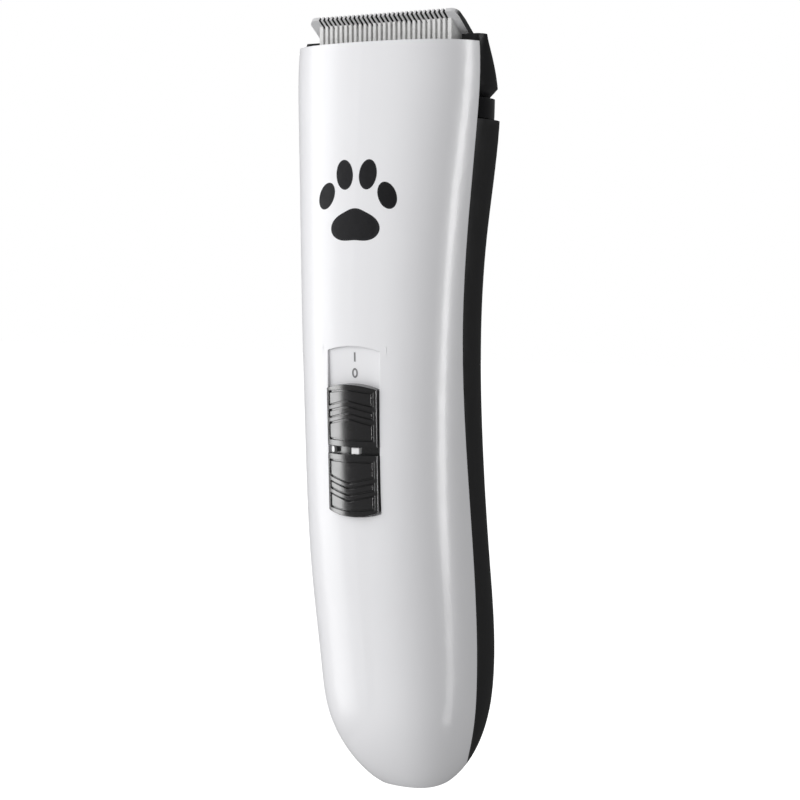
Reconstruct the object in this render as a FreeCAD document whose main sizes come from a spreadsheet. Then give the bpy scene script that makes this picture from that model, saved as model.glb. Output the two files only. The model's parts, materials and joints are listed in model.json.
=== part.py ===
"""Cordless pet clipper: two-part casing, slide switch, battery, motor and a tilting blade head.

The clipper stands upright: +Z runs from the charging socket in the tail to the comb tips, the switch
faces -Y, and the origin is the middle of the socket's mouth. Millimetres throughout.
"""
import FreeCAD, Part
import math
import os
import re
from FreeCAD import Placement, Rotation, Vector

os.makedirs("parts", exist_ok=True)
doc = FreeCAD.newDocument("PetClipper")

# ---------------------------------------------------------------- driving dimensions
SIZES = {
    # casing
    "wall": 2.0,
    "liner_gap": 0.5,
    "collar_inset": 1.2,
    "corner_pull": 0.70,
    "tail_round": 33.2,
    "shell_top": 177.6,
    "rear_top": 160.2,
    "seam_gap": 0.15,
    # charging socket
    "plug_bore": 1.8,
    "socket_nose": 3.0,
    "socket_body": 4.6,
    "socket_depth": 12.0,
    "socket_length": 16.0,
    # switch
    "switch_lean": 1.8,
    "switch_middle": 84.4,
    "switch_skin": -28.75,
    "button_width": 13.3,
    "button_length": 30.6,
    "button_thick": 3.1,
    "button_proud": 1.8,
    "button_travel": 4.0,
    "recess_depth": 1.5,
    "panel_sink": 0.5,
    # circuit board
    "board_face": -18.8,
    "board_thick": 1.2,
    "board_width": 22.0,
    "board_bottom": 54.0,
    "board_length": 56.0,
    # battery
    "cell_radius": 7.0,
    "cell_length": 49.0,
    "cell_base": 30.0,
    "cell_depth": -5.5,
    # motor
    "motor_depth": -12.0,
    "motor_radius": 11.0,
    "motor_base": 118.0,
    "motor_length": 28.0,
    "can_wall": 0.8,
    "shaft_radius": 1.0,
    "shaft_top": 158.0,
    "cam_radius": 4.8,
    "cam_base": 150.0,
    "cam_top": 158.4,
    "throw": 0.9,
    "drive_pin": 1.2,
    "drive_pin_top": 167.5,
    # blade head
    "hinge_depth": 2.5,
    "hinge_height": 163.1,
    "hinge_pin": 1.0,
    "hinge_half": 14.0,
    "knuckle": 2.0,
    "head_floor": 165.6,
    "head_top": 179.4,
    "head_opening": 40.0,
    "tip_depth": -16.5,
    "tip_height": 184.1,
    "blade_slope": 36.0,
    "comb_half": 20.0,
    "comb_length": 16.0,
    "comb_thick": 1.5,
    "comb_gap": 0.56,
    "comb_pitch": 1.2,
    "comb_slot": 5.2,
    "cutter_half": 17.9,
    "cutter_gap": 0.62,
    "cutter_pitch": 1.33,
    "lead": 0.6,
}

# height, half width, front, rear and seam of the casing at each station of its length
STATIONS = {
    "hip": (30.0, 19.9, -23.4, 15.8, -5.2),
    "palm": (55.0, 20.5, -26.9, 12.3, -7.9),
    "grip": (85.0, 20.4, -28.9, 8.1, -11.8),
    "waist": (110.0, 20.9, -28.9, 5.8, -14.3),
    "chest": (135.0, 22.1, -28.0, 6.9, -14.1),
    "neck": (160.0, 24.0, -26.2, 9.5, -12.9),
    "crown": (183.0, 24.0, -24.4, 10.6, -12.6),
}
STATION_FIELDS = ("height", "half", "front", "rear", "seam")
for station, values in STATIONS.items():
    for field, value in zip(STATION_FIELDS, values):
        SIZES[station + "_" + field] = value

COMB_SLOTS = 29
CUTTER_SLOTS = 26

sheet = doc.addObject("Spreadsheet::Sheet", "Sizes")
for row, (alias, value) in enumerate(SIZES.items(), start=1):
    sheet.set("A%d" % row, alias)
    sheet.set("B%d" % row, str(value))
    sheet.setAlias("B%d" % row, alias)
doc.recompute()


def size(alias):
    """A driving dimension, read back from the sheet."""
    return float(sheet.get(alias))


def formula(text):
    """An expression in which every alias is looked up in the sheet."""
    return re.sub(r"[a-z_]+", lambda word: "Sizes." + word[0] if word[0] in SIZES else word[0], str(text))


PATHS = {"x": "Placement.Base.x", "y": "Placement.Base.y", "z": "Placement.Base.z"}


def bind(item, **formulas):
    """Bind properties, or x, y and z of the placement, to expressions over the sheet."""
    for key, text in formulas.items():
        item.setExpression(PATHS.get(key, key), formula(text))
    return item


# ---------------------------------------------------------------- building helpers
def box(name, x, y, z, length, width, height):
    """A box whose near corner and sides are expressions."""
    item = doc.addObject("Part::Box", name)
    return bind(item, x=x, y=y, z=z, Length=length, Width=width, Height=height)


def middle_box(name, half, y, z, width, height):
    """A box centred on the middle plane of the clipper."""
    return box(name, "-(%s)" % half, y, z, "2 * (%s)" % half, width, height)


def placed_box(name, place, length, width, height):
    """A box set by a placement, whose sides are expressions."""
    item = doc.addObject("Part::Box", name)
    item.Placement = place
    return bind(item, Length=length, Width=width, Height=height)


def cylinder(name, x, y, z, radius, height, along="z"):
    """A cylinder along x, y or z, whose sizes are expressions."""
    item = doc.addObject("Part::Cylinder", name)
    turns = {"x": Rotation(Vector(0, 1, 0), 90), "y": Rotation(Vector(1, 0, 0), -90), "z": Rotation()}
    item.Placement = Placement(Vector(), turns[along])
    return bind(item, x=x, y=y, z=z, Radius=radius, Height=height)


def tube(name, x, y, z, outer, inner, height):
    """A hollow cylinder along z."""
    core = cylinder(name + "_core", x, y, z + " - 1", inner, "(%s) + 2" % height)
    return cut(name, cylinder(name + "_solid", x, y, z, outer, height), core)


def cut(name, base, *tools):
    """The base less one or more tools."""
    item = doc.addObject("Part::Cut", name)
    item.Base = base
    item.Tool = tools[0] if len(tools) == 1 else fuse(name + "_tools", *tools)
    return item


def fuse(name, *pieces):
    """One object from several that may overlap."""
    item = doc.addObject("Part::MultiFuse", name)
    item.Shapes = list(pieces)
    return item


def common(name, *pieces):
    """What several objects have in common."""
    item = doc.addObject("Part::MultiCommon", name)
    item.Shapes = list(pieces)
    return item


def compound(name, *pieces):
    """Separate solids of one kind, kept apart in one object."""
    item = doc.addObject("Part::Compound", name)
    item.Links = list(pieces)
    return item


def feature(name, shape):
    """A shape made with Part's own functions."""
    item = doc.addObject("Part::Feature", name)
    item.Shape = shape
    return item


def body(name):
    """A PartDesign body."""
    return doc.addObject("PartDesign::Body", name)


def sketch(owner, name, role, edges, offset=0.0):
    """A sketch on one of the body's origin planes."""
    plane = next(item for item in owner.Origin.OriginFeatures if item.Role == role)
    drawing = owner.newObject("Sketcher::SketchObject", name)
    drawing.AttachmentSupport = [(plane, "")]
    drawing.MapMode = "FlatFace"
    drawing.AttachmentOffset = Placement(Vector(0, 0, offset), Rotation())
    drawing.addGeometry(edges, False)
    return drawing


def outline(*points):
    """Straight edges through the points and back to the first."""
    corners = [Vector(across, up, 0) for across, up in points]
    return [Part.LineSegment(a, b) for a, b in zip(corners, corners[1:] + corners[:1])]


def pad(owner, name, drawing, length, both=False):
    """A pad of the drawing, its length an expression."""
    item = owner.newObject("PartDesign::Pad", name)
    item.Profile = drawing
    item.Midplane = both
    item.setExpression("Length", formula(length))
    return item


def pocket(owner, name, drawing, length, reverse=False, both=False):
    """A pocket of the drawing, its depth an expression."""
    item = owner.newObject("PartDesign::Pocket", name)
    item.Profile = drawing
    item.Reversed = reverse
    item.Midplane = both
    item.setExpression("Length", formula(length))
    return item


def row_of(owner, name, original, drawing, axis, pitch, count):
    """Copies of a feature along an axis of its drawing."""
    item = owner.newObject("PartDesign::LinearPattern", name)
    item.Originals = [original]
    item.Direction = (drawing, [axis])
    item.Occurrences = count
    item.setExpression("Length", formula("(%s) * %d" % (pitch, count - 1)))
    owner.Tip = item
    return item


# ---------------------------------------------------------------- casing form
def ring(height, half, front, rear, scale=1.0):
    """One closed cross-section of the casing: four matching Bezier quarters, squarer than an ellipse."""
    centre = Vector(0, (front + rear) / 2 * tail_share(height), height)
    across = Vector(scale * half, 0, 0)
    back = Vector(0, scale * (rear - front) / 2, 0)
    pull = size("corner_pull")
    quarters = []
    for start, end in ((across, back), (back, -across), (-across, -back), (-back, across)):
        curve = Part.BezierCurve()
        poles = [start, start + end * pull, end + start * pull, end]
        curve.setPoles([centre + pole for pole in poles])
        quarters.append(curve.toShape())
    return Part.Wire(quarters)


def tail_share(height):
    """How far the section's centre has moved off the socket's axis, from 0 at the tail to 1 at the hip."""
    reach = min(height / size("hip_height"), 1.0)
    return math.sin(reach * math.pi / 2)


def casing_form(inset):
    """The solid inside a surface that lies the inset below the casing's skin."""
    rings = []
    hip = [size("hip_" + field) for field in STATION_FIELDS]
    tail = size("tail_round") - inset
    lowest = max(inset * 1.1, 0.0)
    for share in (0.0, 0.1, 0.3, 0.6):
        height = lowest + share * (hip[0] - lowest)
        scale = math.sqrt(1 - ((hip[0] - height) / tail) ** 2)
        rings.append(ring(height, hip[1] - inset, hip[2] + inset, hip[3] - inset, scale))
    for station in STATIONS:
        height, half, front, rear, _ = [size(station + "_" + field) for field in STATION_FIELDS]
        rings.append(ring(height, half - inset, front + inset, rear - inset))
    return Part.makeLoft(rings, True, False)


FAR = 60.0


def seam_points(shift):
    """The seam between the shells, as (Y, Z) points from above the crown down to the tail's back."""
    points = [Vector(0, size(station + "_seam") + shift, size(station + "_height")) for station in STATIONS]
    return points[::-1]


def seam_side(shift, front):
    """The space in front of the seam, or behind it, as a prism along X."""
    tail_run = [Vector(0, -2.8 + shift, 14.0), Vector(0, 0.8 + shift, 7.0), Vector(0, 8.0 + shift, 2.8)]
    line = seam_points(shift) + tail_run
    curve = Part.BSplineCurve()
    curve.interpolate(line)
    first, last = line[0], line[-1]
    edges = [curve.toShape()]
    if front:
        corners = [last, Vector(0, FAR, last.z - 3), Vector(0, FAR, -FAR), Vector(0, -FAR, -FAR),
                   Vector(0, -FAR, first.z), first]
    else:
        corners = [last, Vector(0, FAR, last.z - 3), Vector(0, FAR, first.z), first]
    edges += [Part.makeLine(a, b) for a, b in zip(corners, corners[1:])]
    face = Part.Face(Part.Wire(edges))
    prism = face.extrude(Vector(2 * FAR, 0, 0))
    prism.translate(Vector(-FAR, 0, 0))
    return prism


skin_form = casing_form(0.0)
cavity_form = casing_form(size("wall"))
liner_form = casing_form(size("wall") + size("liner_gap"))
skin = feature("skin_form", skin_form)
cavity = feature("cavity_form", cavity_form)
front_space = feature("front_space", seam_side(0.0, True))
rear_space = feature("rear_space", seam_side(size("seam_gap"), False))

# ---------------------------------------------------------------- switch frame of reference
LEAN = Placement(Vector(0, size("switch_skin"), size("switch_middle")),
                 Rotation(Vector(1, 0, 0), 90 + size("switch_lean")))


def end_arc(half, level, rise):
    """An arc across the width, its middle the rise above its ends."""
    return Part.Arc(Vector(half, level, 0), Vector(0, level + rise, 0), Vector(-half, level, 0))


def rounded_end_outline(half, low, high, rise_low, rise_high):
    """Two straight sides joined by an arched top and bottom."""
    top = end_arc(half, high, rise_high)
    bottom = Part.Arc(Vector(-half, low, 0), Vector(0, low - rise_low, 0), Vector(half, low, 0))
    left = Part.LineSegment(Vector(-half, high, 0), Vector(-half, low, 0))
    right = Part.LineSegment(Vector(half, low, 0), Vector(half, high, 0))
    return [top, left, bottom, right]


def switch_prism(name, edges, low, high):
    """A prism over an outline in the switch's leaning frame, between two depths."""
    face = Part.Face(Part.Wire(Part.__sortEdges__([edge.toShape() for edge in edges])))
    face.translate(Vector(0, 0, low))
    solid = face.extrude(Vector(0, 0, high - low))
    solid.Placement = LEAN
    return feature(name, solid)


BUTTON_HALF = size("button_width") / 2
BUTTON_END = size("button_length") / 2
ARCH = 1.1
RECESS_MARGIN = 0.35
RECESS_HEAD = 8.6
recess_edges = rounded_end_outline(BUTTON_HALF + RECESS_MARGIN, -BUTTON_END + ARCH - RECESS_MARGIN,
                                   BUTTON_END - ARCH + RECESS_HEAD, ARCH, ARCH)
recess = switch_prism("switch_recess", recess_edges, -size("recess_depth"), 12.0)
slot_edges = outline((-2.6, -8.0), (2.6, -8.0), (2.6, 8.0), (-2.6, 8.0))
floor_edges = rounded_end_outline(BUTTON_HALF + 2.0, -BUTTON_END - 1.0, BUTTON_END + RECESS_HEAD, ARCH, ARCH)
recess_floor = switch_prism("recess_floor", floor_edges, -3.1, -size("recess_depth") + 0.2)
stem_slot = switch_prism("stem_slot", slot_edges, -8.0, 2.0)

# ---------------------------------------------------------------- front shell
SCREWS = ((-11.5, 24.0), (11.5, 24.0), (-14.2, 109.5), (14.2, 109.5))


def seam_at(height):
    """Depth of the seam at a height, between two stations."""
    stations = [[size(name + "_" + field) for field in STATION_FIELDS] for name in STATIONS]
    for low, high in zip(stations, stations[1:]):
        if low[0] <= height <= high[0]:
            share = (height - low[0]) / (high[0] - low[0])
            return low[4] + share * (high[4] - low[4])
    return -5.0


front_posts = []
front_pilots = []
rear_posts = []
rear_bores = []
rear_sinks = []
screw_list = []
for index, (across, height) in enumerate(SCREWS):
    seat = seam_at(height)
    tag = "_%d" % (index + 1)
    front_posts.append(cylinder("front_post" + tag, across, seat - 22, height, 2.9, 22, "y"))
    front_pilots.append(cylinder("front_pilot" + tag, across, seat - 8, height, 1.0, 9, "y"))
    rear_posts.append(cylinder("rear_post" + tag, across, seat + 0.05, height, 3.2, 22, "y"))
    rear_bores.append(cylinder("rear_bore" + tag, across, seat - 1, height, 1.5, 30, "y"))
    rear_sinks.append(cylinder("rear_sink" + tag, across, seat + 2.5, height, 2.5, 30, "y"))
    shank = cylinder("screw_shank" + tag, across, seat - 7, height, 1.0, 9.6, "y")
    head = cylinder("screw_head" + tag, across, seat + 2.5, height, 2.1, 1.6, "y")
    drive_a = box("screw_cross_a" + tag, across - 1.2, seat + 3.3, height - 0.25, 2.4, 1.5, 0.5)
    drive_b = box("screw_cross_b" + tag, across - 0.25, seat + 3.3, height - 1.2, 0.5, 1.5, 2.4)
    screw_list.append(cut("housing_screw" + tag, fuse("screw_blank" + tag, shank, head), drive_a, drive_b))
compound("housing_screws", *screw_list)

front_wall = cut("front_wall", skin, cavity)
front_half = common("front_half", front_wall, front_space)
front_ribs = common("front_ribs", fuse("front_post_group", *front_posts), skin, front_space)
crown_trim = box("crown_trim", -FAR, -FAR, "shell_top", 2 * FAR, 2 * FAR, 30)
tail_hole = cylinder("tail_hole", 0, 0, -5, "socket_nose + 0.05", 12)
front_shell = cut("front_shell", fuse("front_solid", front_half, front_ribs, recess_floor), recess, stem_slot,
                  crown_trim, tail_hole, *front_pilots)

# ---------------------------------------------------------------- rear shell
rear_wall = cut("rear_wall", skin, cavity)
rear_half = common("rear_half", rear_wall, rear_space)
cradle_box = box("cradle_box", "-9.5", "cell_depth + 1.5", "cell_base + 6", 19, 20, 4)
cradle_top = box("cradle_top", "-9.5", "cell_depth + 1.5", "cell_base + cell_length - 10", 19, 20, 4)
cradle_bore = cylinder("cradle_bore", 0, "cell_depth", "cell_base - 5", "cell_radius + 0.1", "cell_length + 10")
rear_post_group = fuse("rear_post_group", *rear_posts, cradle_box, cradle_top)
rear_ribs = common("rear_ribs", cut("rear_rib_blank", rear_post_group, cradle_bore), skin, rear_space)
neck_trim = box("neck_trim", -FAR, -FAR, "rear_top", 2 * FAR, 2 * FAR, 60)
rear_shell = cut("rear_shell", fuse("rear_solid", rear_half, rear_ribs), neck_trim, *rear_bores, *rear_sinks)

# ---------------------------------------------------------------- charging socket and board
jack_body = fuse("jack_blank", cylinder("jack_nose", 0, 0, 0, "socket_nose", 5),
                 cylinder("jack_barrel", 0, 0, 4, "socket_body", "socket_length - 4"))
cut("charge_jack", jack_body, cylinder("jack_bore", 0, 0, -1, "plug_bore", "socket_depth + 1"),
    cylinder("jack_contact_hole", 0, 0, "socket_depth - 1", 0.9, 20))
pin_a = box("jack_tag_a", -0.4, "-3.6", "socket_length + 0.02", 0.8, 0.3, 4)
pin_b = box("jack_tag_b", -0.4, "3.3", "socket_length + 0.02", 0.8, 0.3, 4)
tip_contact = cylinder("jack_tip_contact", 0, 0, "socket_depth + 0.5", 0.85,
                       "socket_length - socket_depth + 3.5")
compound("jack_contacts", pin_a, pin_b, tip_contact)

board = body("circuit_board")
board_half = size("board_width") / 2
board_long = size("board_length")
board_edges = outline((-board_half, 0), (board_half, 0), (board_half, board_long), (-board_half, board_long))
board_sketch = sketch(board, "board_outline", "XZ_Plane", board_edges)
pad(board, "board_plate", board_sketch, "board_thick")
board_hole_sketch = sketch(board, "board_holes", "XZ_Plane",
                           [Part.Circle(Vector(-8.5, 4, 0), Vector(0, 0, 1), 1.3),
                            Part.Circle(Vector(8.5, 4, 0), Vector(0, 0, 1), 1.3)])
pocket(board, "board_drillings", board_hole_sketch, "board_thick * 3", both=True)
bind(board, y="board_face", z="board_bottom")

board_rear = "board_face + 0.02"
chip = box("charge_chip", -2.5, board_rear, "board_bottom + 12", 5, 1.6, 6)
capacitor = cylinder("capacitor", 5, board_rear, "board_bottom + 8", 2.4, 5, "y")
resistors = []
for index in range(5):
    resistors.append(box("resistor_%d" % index, -8 + 3 * index, board_rear, "board_bottom + 24", 1.6, 0.6, 0.8))
compound("board_components", chip, capacitor, *resistors)

SWITCH_BASE = "switch_middle - 7"
cut("slide_switch_body",
    middle_box("switch_case", "4.2", "board_face - board_thick - 4.52", SWITCH_BASE, 4.5, 14),
    middle_box("switch_window", "1.4", "board_face - board_thick - 6", "switch_middle - 3.4", 3.5,
               "button_travel + 3.3"))
knob = box("slide_switch_knob", -1.1, "board_face - board_thick - 6.6", "switch_middle - 3.1", 2.2, 3.9, 2.6)

# ---------------------------------------------------------------- switch button
PANEL_HALF = BUTTON_HALF - 0.65
CHEVRON = 1.4


def panel(half, low_edge, high_edge, low_rise, high_rise):
    """The outline of a grip panel between two edges, each raised in its middle."""
    return outline((-half, low_edge), (0, low_edge + low_rise), (half, low_edge),
                   (half, high_edge), (0, high_edge + high_rise), (-half, high_edge))


button = body("switch_button")
button_sketch = sketch(button, "button_outline", "XY_Plane",
                       rounded_end_outline(BUTTON_HALF, -BUTTON_END + ARCH, BUTTON_END - ARCH, ARCH, ARCH),
                       size("button_proud") - size("button_thick"))
pad(button, "button_block", button_sketch, "button_thick")
crown_edges = [Part.Arc(Vector(-10, -1.9, 0), Vector(0, size("button_proud"), 0), Vector(10, -1.9, 0)),
               Part.LineSegment(Vector(10, -1.9, 0), Vector(10, 5, 0)),
               Part.LineSegment(Vector(10, 5, 0), Vector(-10, 5, 0)),
               Part.LineSegment(Vector(-10, 5, 0), Vector(-10, -1.9, 0))]
crown_sketch = sketch(button, "button_crown", "XZ_Plane", crown_edges)
pocket(button, "button_crowning", crown_sketch, "button_length * 2", both=True)
doc.recompute()


def crowned_sink(edges):
    """A recess of even depth under the crowned top, over one outline."""
    face = Part.Face(Part.Wire([edge.toShape() for edge in edges]))
    solid = face.extrude(Vector(0, 0, 6))
    solid.translate(Vector(0, 0, -3))
    return solid


def crown_roof(sink):
    """The space above the crowned top once it is lowered by the sink."""
    low = -1.9 - sink
    top = size("button_proud") - sink
    arc = Part.Arc(Vector(-10, 0, low), Vector(0, 0, top), Vector(10, 0, low)).toShape()
    rest = Part.makePolygon([Vector(10, 0, low), Vector(10, 0, 6), Vector(-10, 0, 6), Vector(-10, 0, low)])
    roof = Part.Face(Part.Wire([arc] + rest.Edges)).extrude(Vector(0, 60, 0))
    roof.translate(Vector(0, -30, 0))
    return roof


GROOVE = 0.42
grooves = []
for side in (1, -1):
    for low, high, low_rise, high_rise in ((2.3, 6.3, 0, CHEVRON), (7.2, 9.2, CHEVRON, CHEVRON),
                                           (10.1, 13.6, CHEVRON, 0.7)):
        outer = crowned_sink(panel(PANEL_HALF, side * low, side * high, side * low_rise, side * high_rise))
        inner = crowned_sink(panel(PANEL_HALF - GROOVE, side * (low + GROOVE), side * (high - GROOVE),
                                   side * low_rise, side * high_rise))
        grooves.append(outer.cut(inner))
groove_space = Part.Compound(grooves).common(crown_roof(size("panel_sink")))
SLOT_SINK = 1.7
slot_face = outline((-20, -0.95), (20, -0.95), (20, 0.95), (-20, 0.95))
slot_space = crowned_sink(slot_face).common(crown_roof(SLOT_SINK))
button.Label = "button_form"
stem_shape = Part.makeBox(4.6, 5.2, 2.5, Vector(-2.3, -4.4, -3.6))
fork_gap = Part.makeBox(2.3, 2.9, 2.1, Vector(-1.15, -3.35, -3.7))
button_shape = button.Shape.cut(groove_space).cut(slot_space).fuse(stem_shape).cut(fork_gap)
button_final = feature("switch_button_solid", button_shape.removeSplitter())
button_final.Label = "switch_button"
button_final.Placement = LEAN

side_pad = Part.makeBox(0.9, 1.5, 3, Vector(-5.6, -0.75, -1))
middle_pad = Part.makeBox(1.9, 1.5, 3, Vector(0.45, -0.75, -1))
pad_space = Part.Compound([side_pad, middle_pad]).common(slot_space).cut(crown_roof(size("panel_sink")))
insert = feature("button_insert", pad_space)
insert.Placement = LEAN

# ---------------------------------------------------------------- battery
cut("battery_cell",
    fuse("cell_blank", cylinder("cell_can", 0, "cell_depth", "cell_base", "cell_radius", "cell_length - 1"),
         cylinder("cell_button", 0, "cell_depth", "cell_base + cell_length - 1.5", 2.7, 1.5)),
    tube("cell_groove", 0, "cell_depth", "cell_base + cell_length - 4",
         "cell_radius + 1", "cell_radius - 0.35", 0.8))
CELL_TOP = "cell_base + cell_length"
tab_top = fuse("tab_top", middle_box("tab_top_plate", 2.4, "cell_depth - 6.5", CELL_TOP + " + 0.02", 9, 0.25),
               middle_box("tab_top_fold", 2.4, "cell_depth - 6.5", CELL_TOP + " + 0.02", 0.25, 3))
tab_base = fuse("tab_base", middle_box("tab_base_plate", 2.4, "cell_depth - 6.5", "cell_base - 0.27", 9, 0.25),
                middle_box("tab_base_fold", 2.4, "cell_depth - 6.5", "cell_base - 3.02", 0.25, 3))
compound("battery_tabs", tab_top, tab_base)

# ---------------------------------------------------------------- motor
MOTOR_TOP = "motor_base + motor_length"


def on_motor(name, base, radius, height, x=0):
    """A cylinder on the motor's axis, or beside it."""
    return cylinder(name, x, "motor_depth", base, radius, height)


cut("motor_can", on_motor("can_solid", "motor_base", "motor_radius", "motor_length"),
    on_motor("can_space", "motor_base - 1", "motor_radius - can_wall", "motor_length - can_wall + 1"),
    on_motor("can_nose_hole", MOTOR_TOP + " - 3", 2.5, 6),
    on_motor("can_screw_hole_a", MOTOR_TOP + " - 3", 0.8, 6, 6.0),
    on_motor("can_screw_hole_b", MOTOR_TOP + " - 3", 0.8, 6, -6.0))
cut("motor_end_cap", on_motor("cap_solid", "motor_base + 0.05", "motor_radius - can_wall - 0.02", 2.4),
    on_motor("cap_hole", "motor_base - 1", 2.0, 6),
    middle_box("cap_tag_slots", 6.5, "motor_depth - 1.3", "motor_base - 1", 2.6, 6))
nose_bush = tube("nose_bush", 0, "motor_depth", MOTOR_TOP + " - 1.8", 2.48, "shaft_radius + 0.03", "3.6")
tail_bush = tube("tail_bush", 0, "motor_depth", "motor_base + 0.2", 1.98, "shaft_radius + 0.03", "2.4")
compound("motor_bearings", nose_bush, tail_bush)
magnet_ring = tube("magnet_ring", 0, "motor_depth", "motor_base + 5",
                   "motor_radius - can_wall - 0.02", 8.0, "20")
cut("motor_magnets", magnet_ring, middle_box("magnet_gap", 30, "motor_depth - 3", "motor_base", 6, 40))
tag_a = box("terminal_a", 5.0, "motor_depth - 0.9", "motor_base - 3.4", 0.4, 1.8, 5.6)
tag_b = box("terminal_b", -5.4, "motor_depth - 0.9", "motor_base - 3.4", 0.4, 1.8, 5.6)
brush_a = box("brush_a", 2.45, "motor_depth - 1", "motor_base + 2.5", 0.3, 2.0, 3.6)
brush_b = box("brush_b", -2.75, "motor_depth - 1", "motor_base + 2.5", 0.3, 2.0, 3.6)
compound("motor_terminals", tag_a, tag_b)
compound("motor_brushes", brush_a, brush_b)
on_motor("motor_shaft", "motor_base - 0.4", "shaft_radius", "shaft_top - motor_base + 0.4")
POLES = 3
poles = []
coils = []
for index in range(POLES):
    turn = Rotation(Vector(0, 0, 1), 360 / POLES * index)
    neck_solid = Part.makeBox(4.4, 2.0, 14, Vector(2.0, -1.0, 0))
    rim = Part.makeCylinder(7.4, 14).cut(Part.makeCylinder(6.2, 14))
    wedge = Part.makeCylinder(9, 14, Vector(), Vector(0, 0, 1), 92)
    wedge.rotate(Vector(), Vector(0, 0, 1), -46)
    pole = neck_solid.fuse(rim.common(wedge))
    coil_core = Part.makeBox(9, 2.04, 14.04, Vector(2, -1.02, -0.02))
    coil = Part.makeBox(2.4, 4.6, 16.4, Vector(3.2, -2.3, -1.2)).cut(coil_core)
    for solid, group in ((pole, poles), (coil, coils)):
        solid.Placement = Placement(Vector(), turn)
        group.append(solid)
hub = Part.makeCylinder(2.4, 14)
core_shape = hub.fuse(poles).cut(Part.makeCylinder(size("shaft_radius"), 30, Vector(0, 0, -5))).removeSplitter()
ROTOR = Vector(0, size("motor_depth"), size("motor_base") + 8)
core = feature("armature_core", core_shape)
core.Placement = Placement(ROTOR, Rotation())
windings = feature("armature_windings", Part.Compound(coils))
windings.Placement = Placement(ROTOR, Rotation())
tube("commutator", 0, "motor_depth", "motor_base + 3", 2.4, "shaft_radius", "3.4")
tube("motor_damper", 0, "motor_depth", "motor_base + 10", "motor_radius + 1.6", "motor_radius + 0.02", "6")

liner = feature("liner_form", liner_form)
bracket_slab = box("bracket_slab", -FAR, -FAR, MOTOR_TOP + " + 0.02", 2 * FAR, 2 * FAR, 1.8)
cut("motor_bracket", common("bracket_blank", liner, bracket_slab),
    on_motor("bracket_hole", MOTOR_TOP + " - 3", 2.9, 8),
    on_motor("bracket_screw_a", MOTOR_TOP + " - 3", 0.9, 8, 6.0),
    on_motor("bracket_screw_b", MOTOR_TOP + " - 3", 0.9, 8, -6.0),
    middle_box("bracket_window", 5, "motor_depth + 9", MOTOR_TOP + " - 1", 4, 4))
motor_screws = []
for tag, across in (("_a", 6.0), ("_b", -6.0)):
    shank = on_motor("motor_screw_shank" + tag, MOTOR_TOP + " - 1.6", 0.78, 3.6, across)
    head = on_motor("motor_screw_head" + tag, MOTOR_TOP + " + 1.84", 1.5, 1.0, across)
    motor_screws.append(fuse("motor_screw" + tag, shank, head))
compound("motor_screws", *motor_screws)

# ---------------------------------------------------------------- eccentric drive
cam_blank = fuse("cam_blank", on_motor("cam_hub", "cam_base", 3.0, "4.5"),
                 on_motor("cam_disc", "cam_base + 4", "cam_radius", "cam_top - cam_base - 4"),
                 on_motor("cam_pin", "cam_top - 0.5", "drive_pin", "drive_pin_top - cam_top + 0.5", "throw"))
cut("eccentric_cam", cam_blank,
    on_motor("cam_bore", "cam_base - 1", "shaft_radius", "shaft_top - cam_base + 1"),
    cut("cam_relief", on_motor("cam_relief_disc", "cam_base + 5", "cam_radius + 1", "1.6"),
        on_motor("cam_relief_core", "cam_base + 4", 3.6, "4")))

# ---------------------------------------------------------------- neck block and hinge
HINGE = Vector(0, size("hinge_depth"), size("hinge_height"))
neck_slab = box("neck_slab", -FAR, -FAR, "rear_top - 5", 2 * FAR, 2 * FAR, "head_floor - 0.4 - rear_top + 5")
neck_window = middle_box("neck_window", 6.5, "motor_depth - 6", "rear_top - 10", 12, 30)
OPEN_HEAD = Placement(HINGE, Rotation(Vector(1, 0, 0), -size("head_opening")))
RELIEF_CORNER = Vector(-FAR, -FAR / 2, 2.2)
RELIEF = OPEN_HEAD.multiply(Placement(RELIEF_CORNER, Rotation()))
neck_relief = placed_box("neck_relief", RELIEF, 2 * FAR, FAR, 20)
KNUCKLE_IN = 9.0
KNUCKLE_LONG = 4.0
knuckle_slots = []
knuckles = []
for tag, start in (("_a", KNUCKLE_IN), ("_b", -KNUCKLE_IN - KNUCKLE_LONG)):
    knuckle_slots.append(box("knuckle_slot" + tag, start - 0.3, "hinge_depth - knuckle - 0.6",
                             "hinge_height - knuckle - 0.5", KNUCKLE_LONG + 0.6, 12, 20))
    roller = cylinder("knuckle_roller" + tag, start, "hinge_depth", "hinge_height", "knuckle", KNUCKLE_LONG, "x")
    web = box("knuckle_web" + tag, start, "hinge_depth - knuckle", "hinge_height", KNUCKLE_LONG, "2 * knuckle",
              "head_floor - hinge_height + 1")
    knuckles += [roller, web]
collar_form = feature("collar_form", casing_form(size("collar_inset")))
collar_space = feature("collar_space", seam_side(0.3, False))
collar_slab = box("collar_slab", -FAR, -FAR, "rear_top + 0.3", 2 * FAR, 2 * FAR, "head_floor - 0.7 - rear_top")
collar = common("collar", collar_form, collar_space, collar_slab)
cut("neck_block", fuse("neck_solid", common("neck_blank", liner, neck_slab), collar), neck_window, neck_relief,
    cylinder("neck_pin_hole", "-30", "hinge_depth", "hinge_height", "hinge_pin", 60, "x"), *knuckle_slots)
cylinder("head_hinge_pin", "-hinge_half", "hinge_depth", "hinge_height", "hinge_pin", "2 * hinge_half", "x")

# ---------------------------------------------------------------- blade head
SCREW_ROW = 13.8
SLOPE = Placement(Vector(0, size("tip_depth"), size("tip_height")),
                  Rotation(Vector(1, 0, 0), -size("blade_slope")))


def slope_box(name, half, near, width, low, height):
    """A box in the comb's sloping frame: across, back from the tips, and above the comb's lower face."""
    place = SLOPE.multiply(Placement(Vector(-half, near, low), Rotation()))
    return placed_box(name, place, 2 * half, width, height)


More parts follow.
